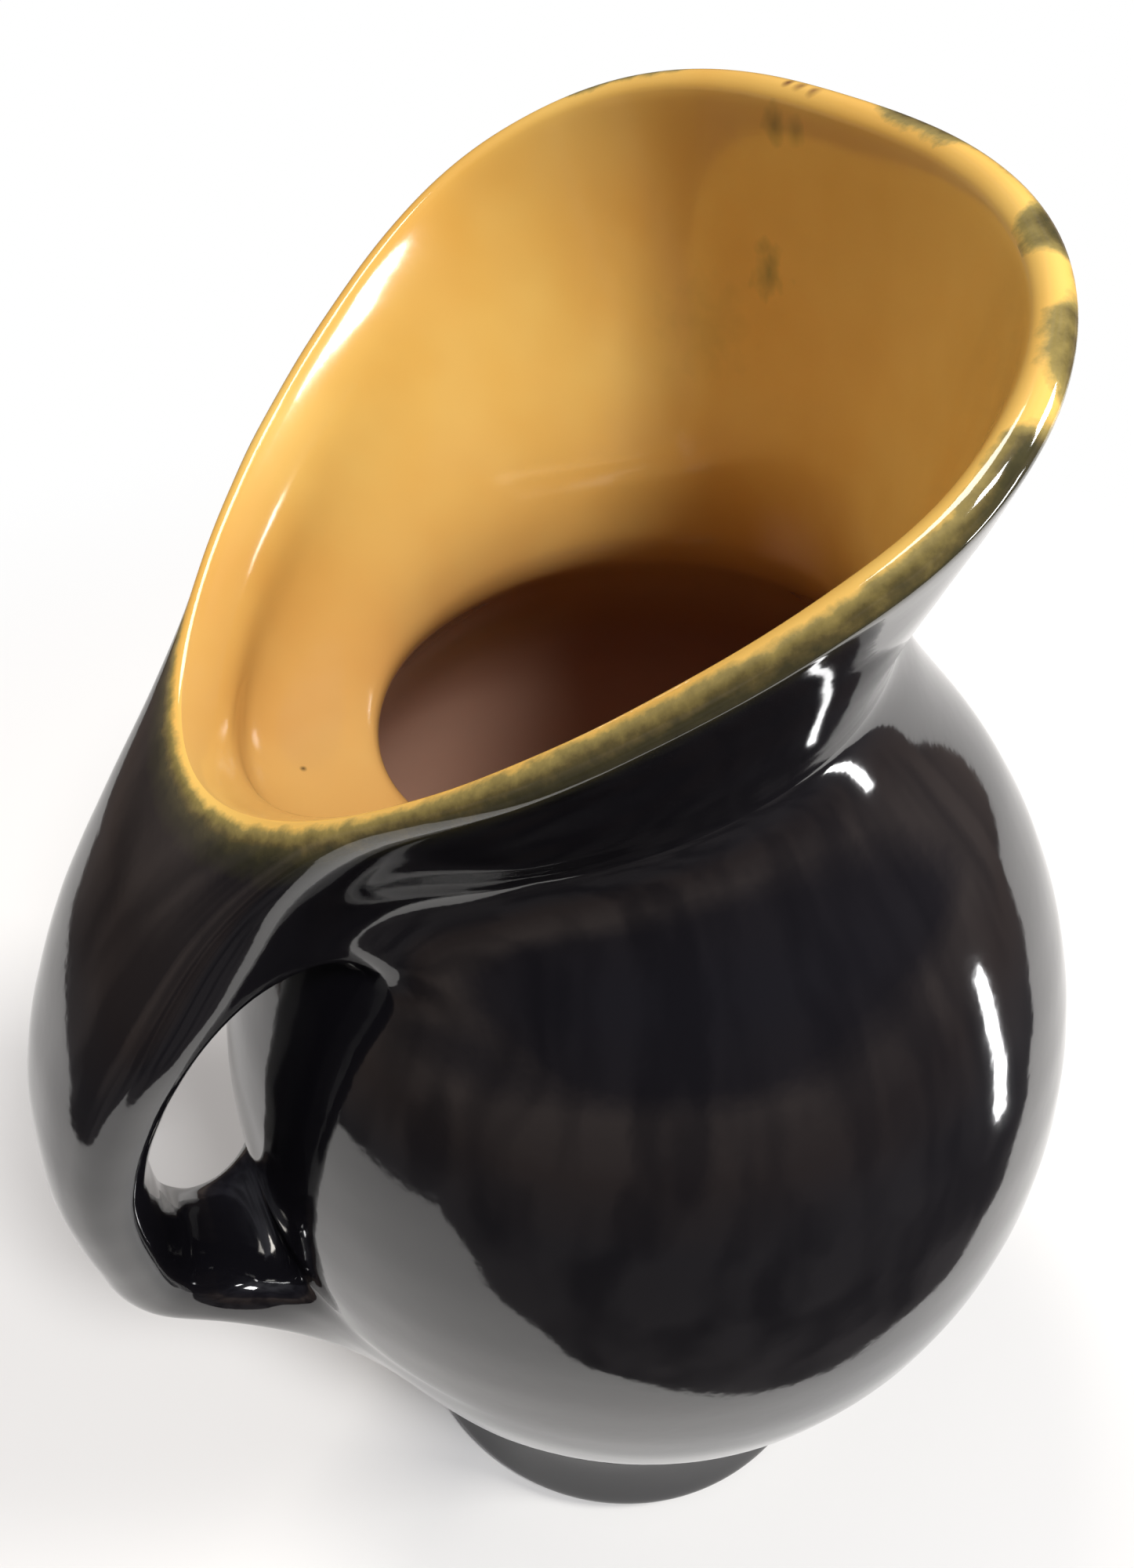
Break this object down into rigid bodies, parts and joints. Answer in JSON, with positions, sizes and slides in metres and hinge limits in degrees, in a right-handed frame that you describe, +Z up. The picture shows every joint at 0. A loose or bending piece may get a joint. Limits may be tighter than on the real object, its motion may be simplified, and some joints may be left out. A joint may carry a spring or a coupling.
{
  "type": "oinochoe jug",
  "caption": "Glazed earthenware pouring jug with an egg-shaped belly on a foot ring, a wide slanting mouth drawn out behind, and a strap handle that loops down to the belly.",
  "frame": {"origin": "centre of the standing ring, on the plane the jug stands on", "axes": "+Z up through the belly, +X towards the pouring front of the mouth, -X towards the handle; the jug is mirrored about the XZ plane"},
  "size_m": [0.1671, 0.14, 0.2424],
  "materials": {
    "black_glaze": "glossy",
    "yellow_glaze": "glossy"
  },
  "bodies": {
    "root": {"foot_ring": "black_glaze", "belly": "black_glaze", "neck_and_mouth": "black_glaze", "handle": "black_glaze", "lining": "yellow_glaze"}
  },
  "joints": []
}
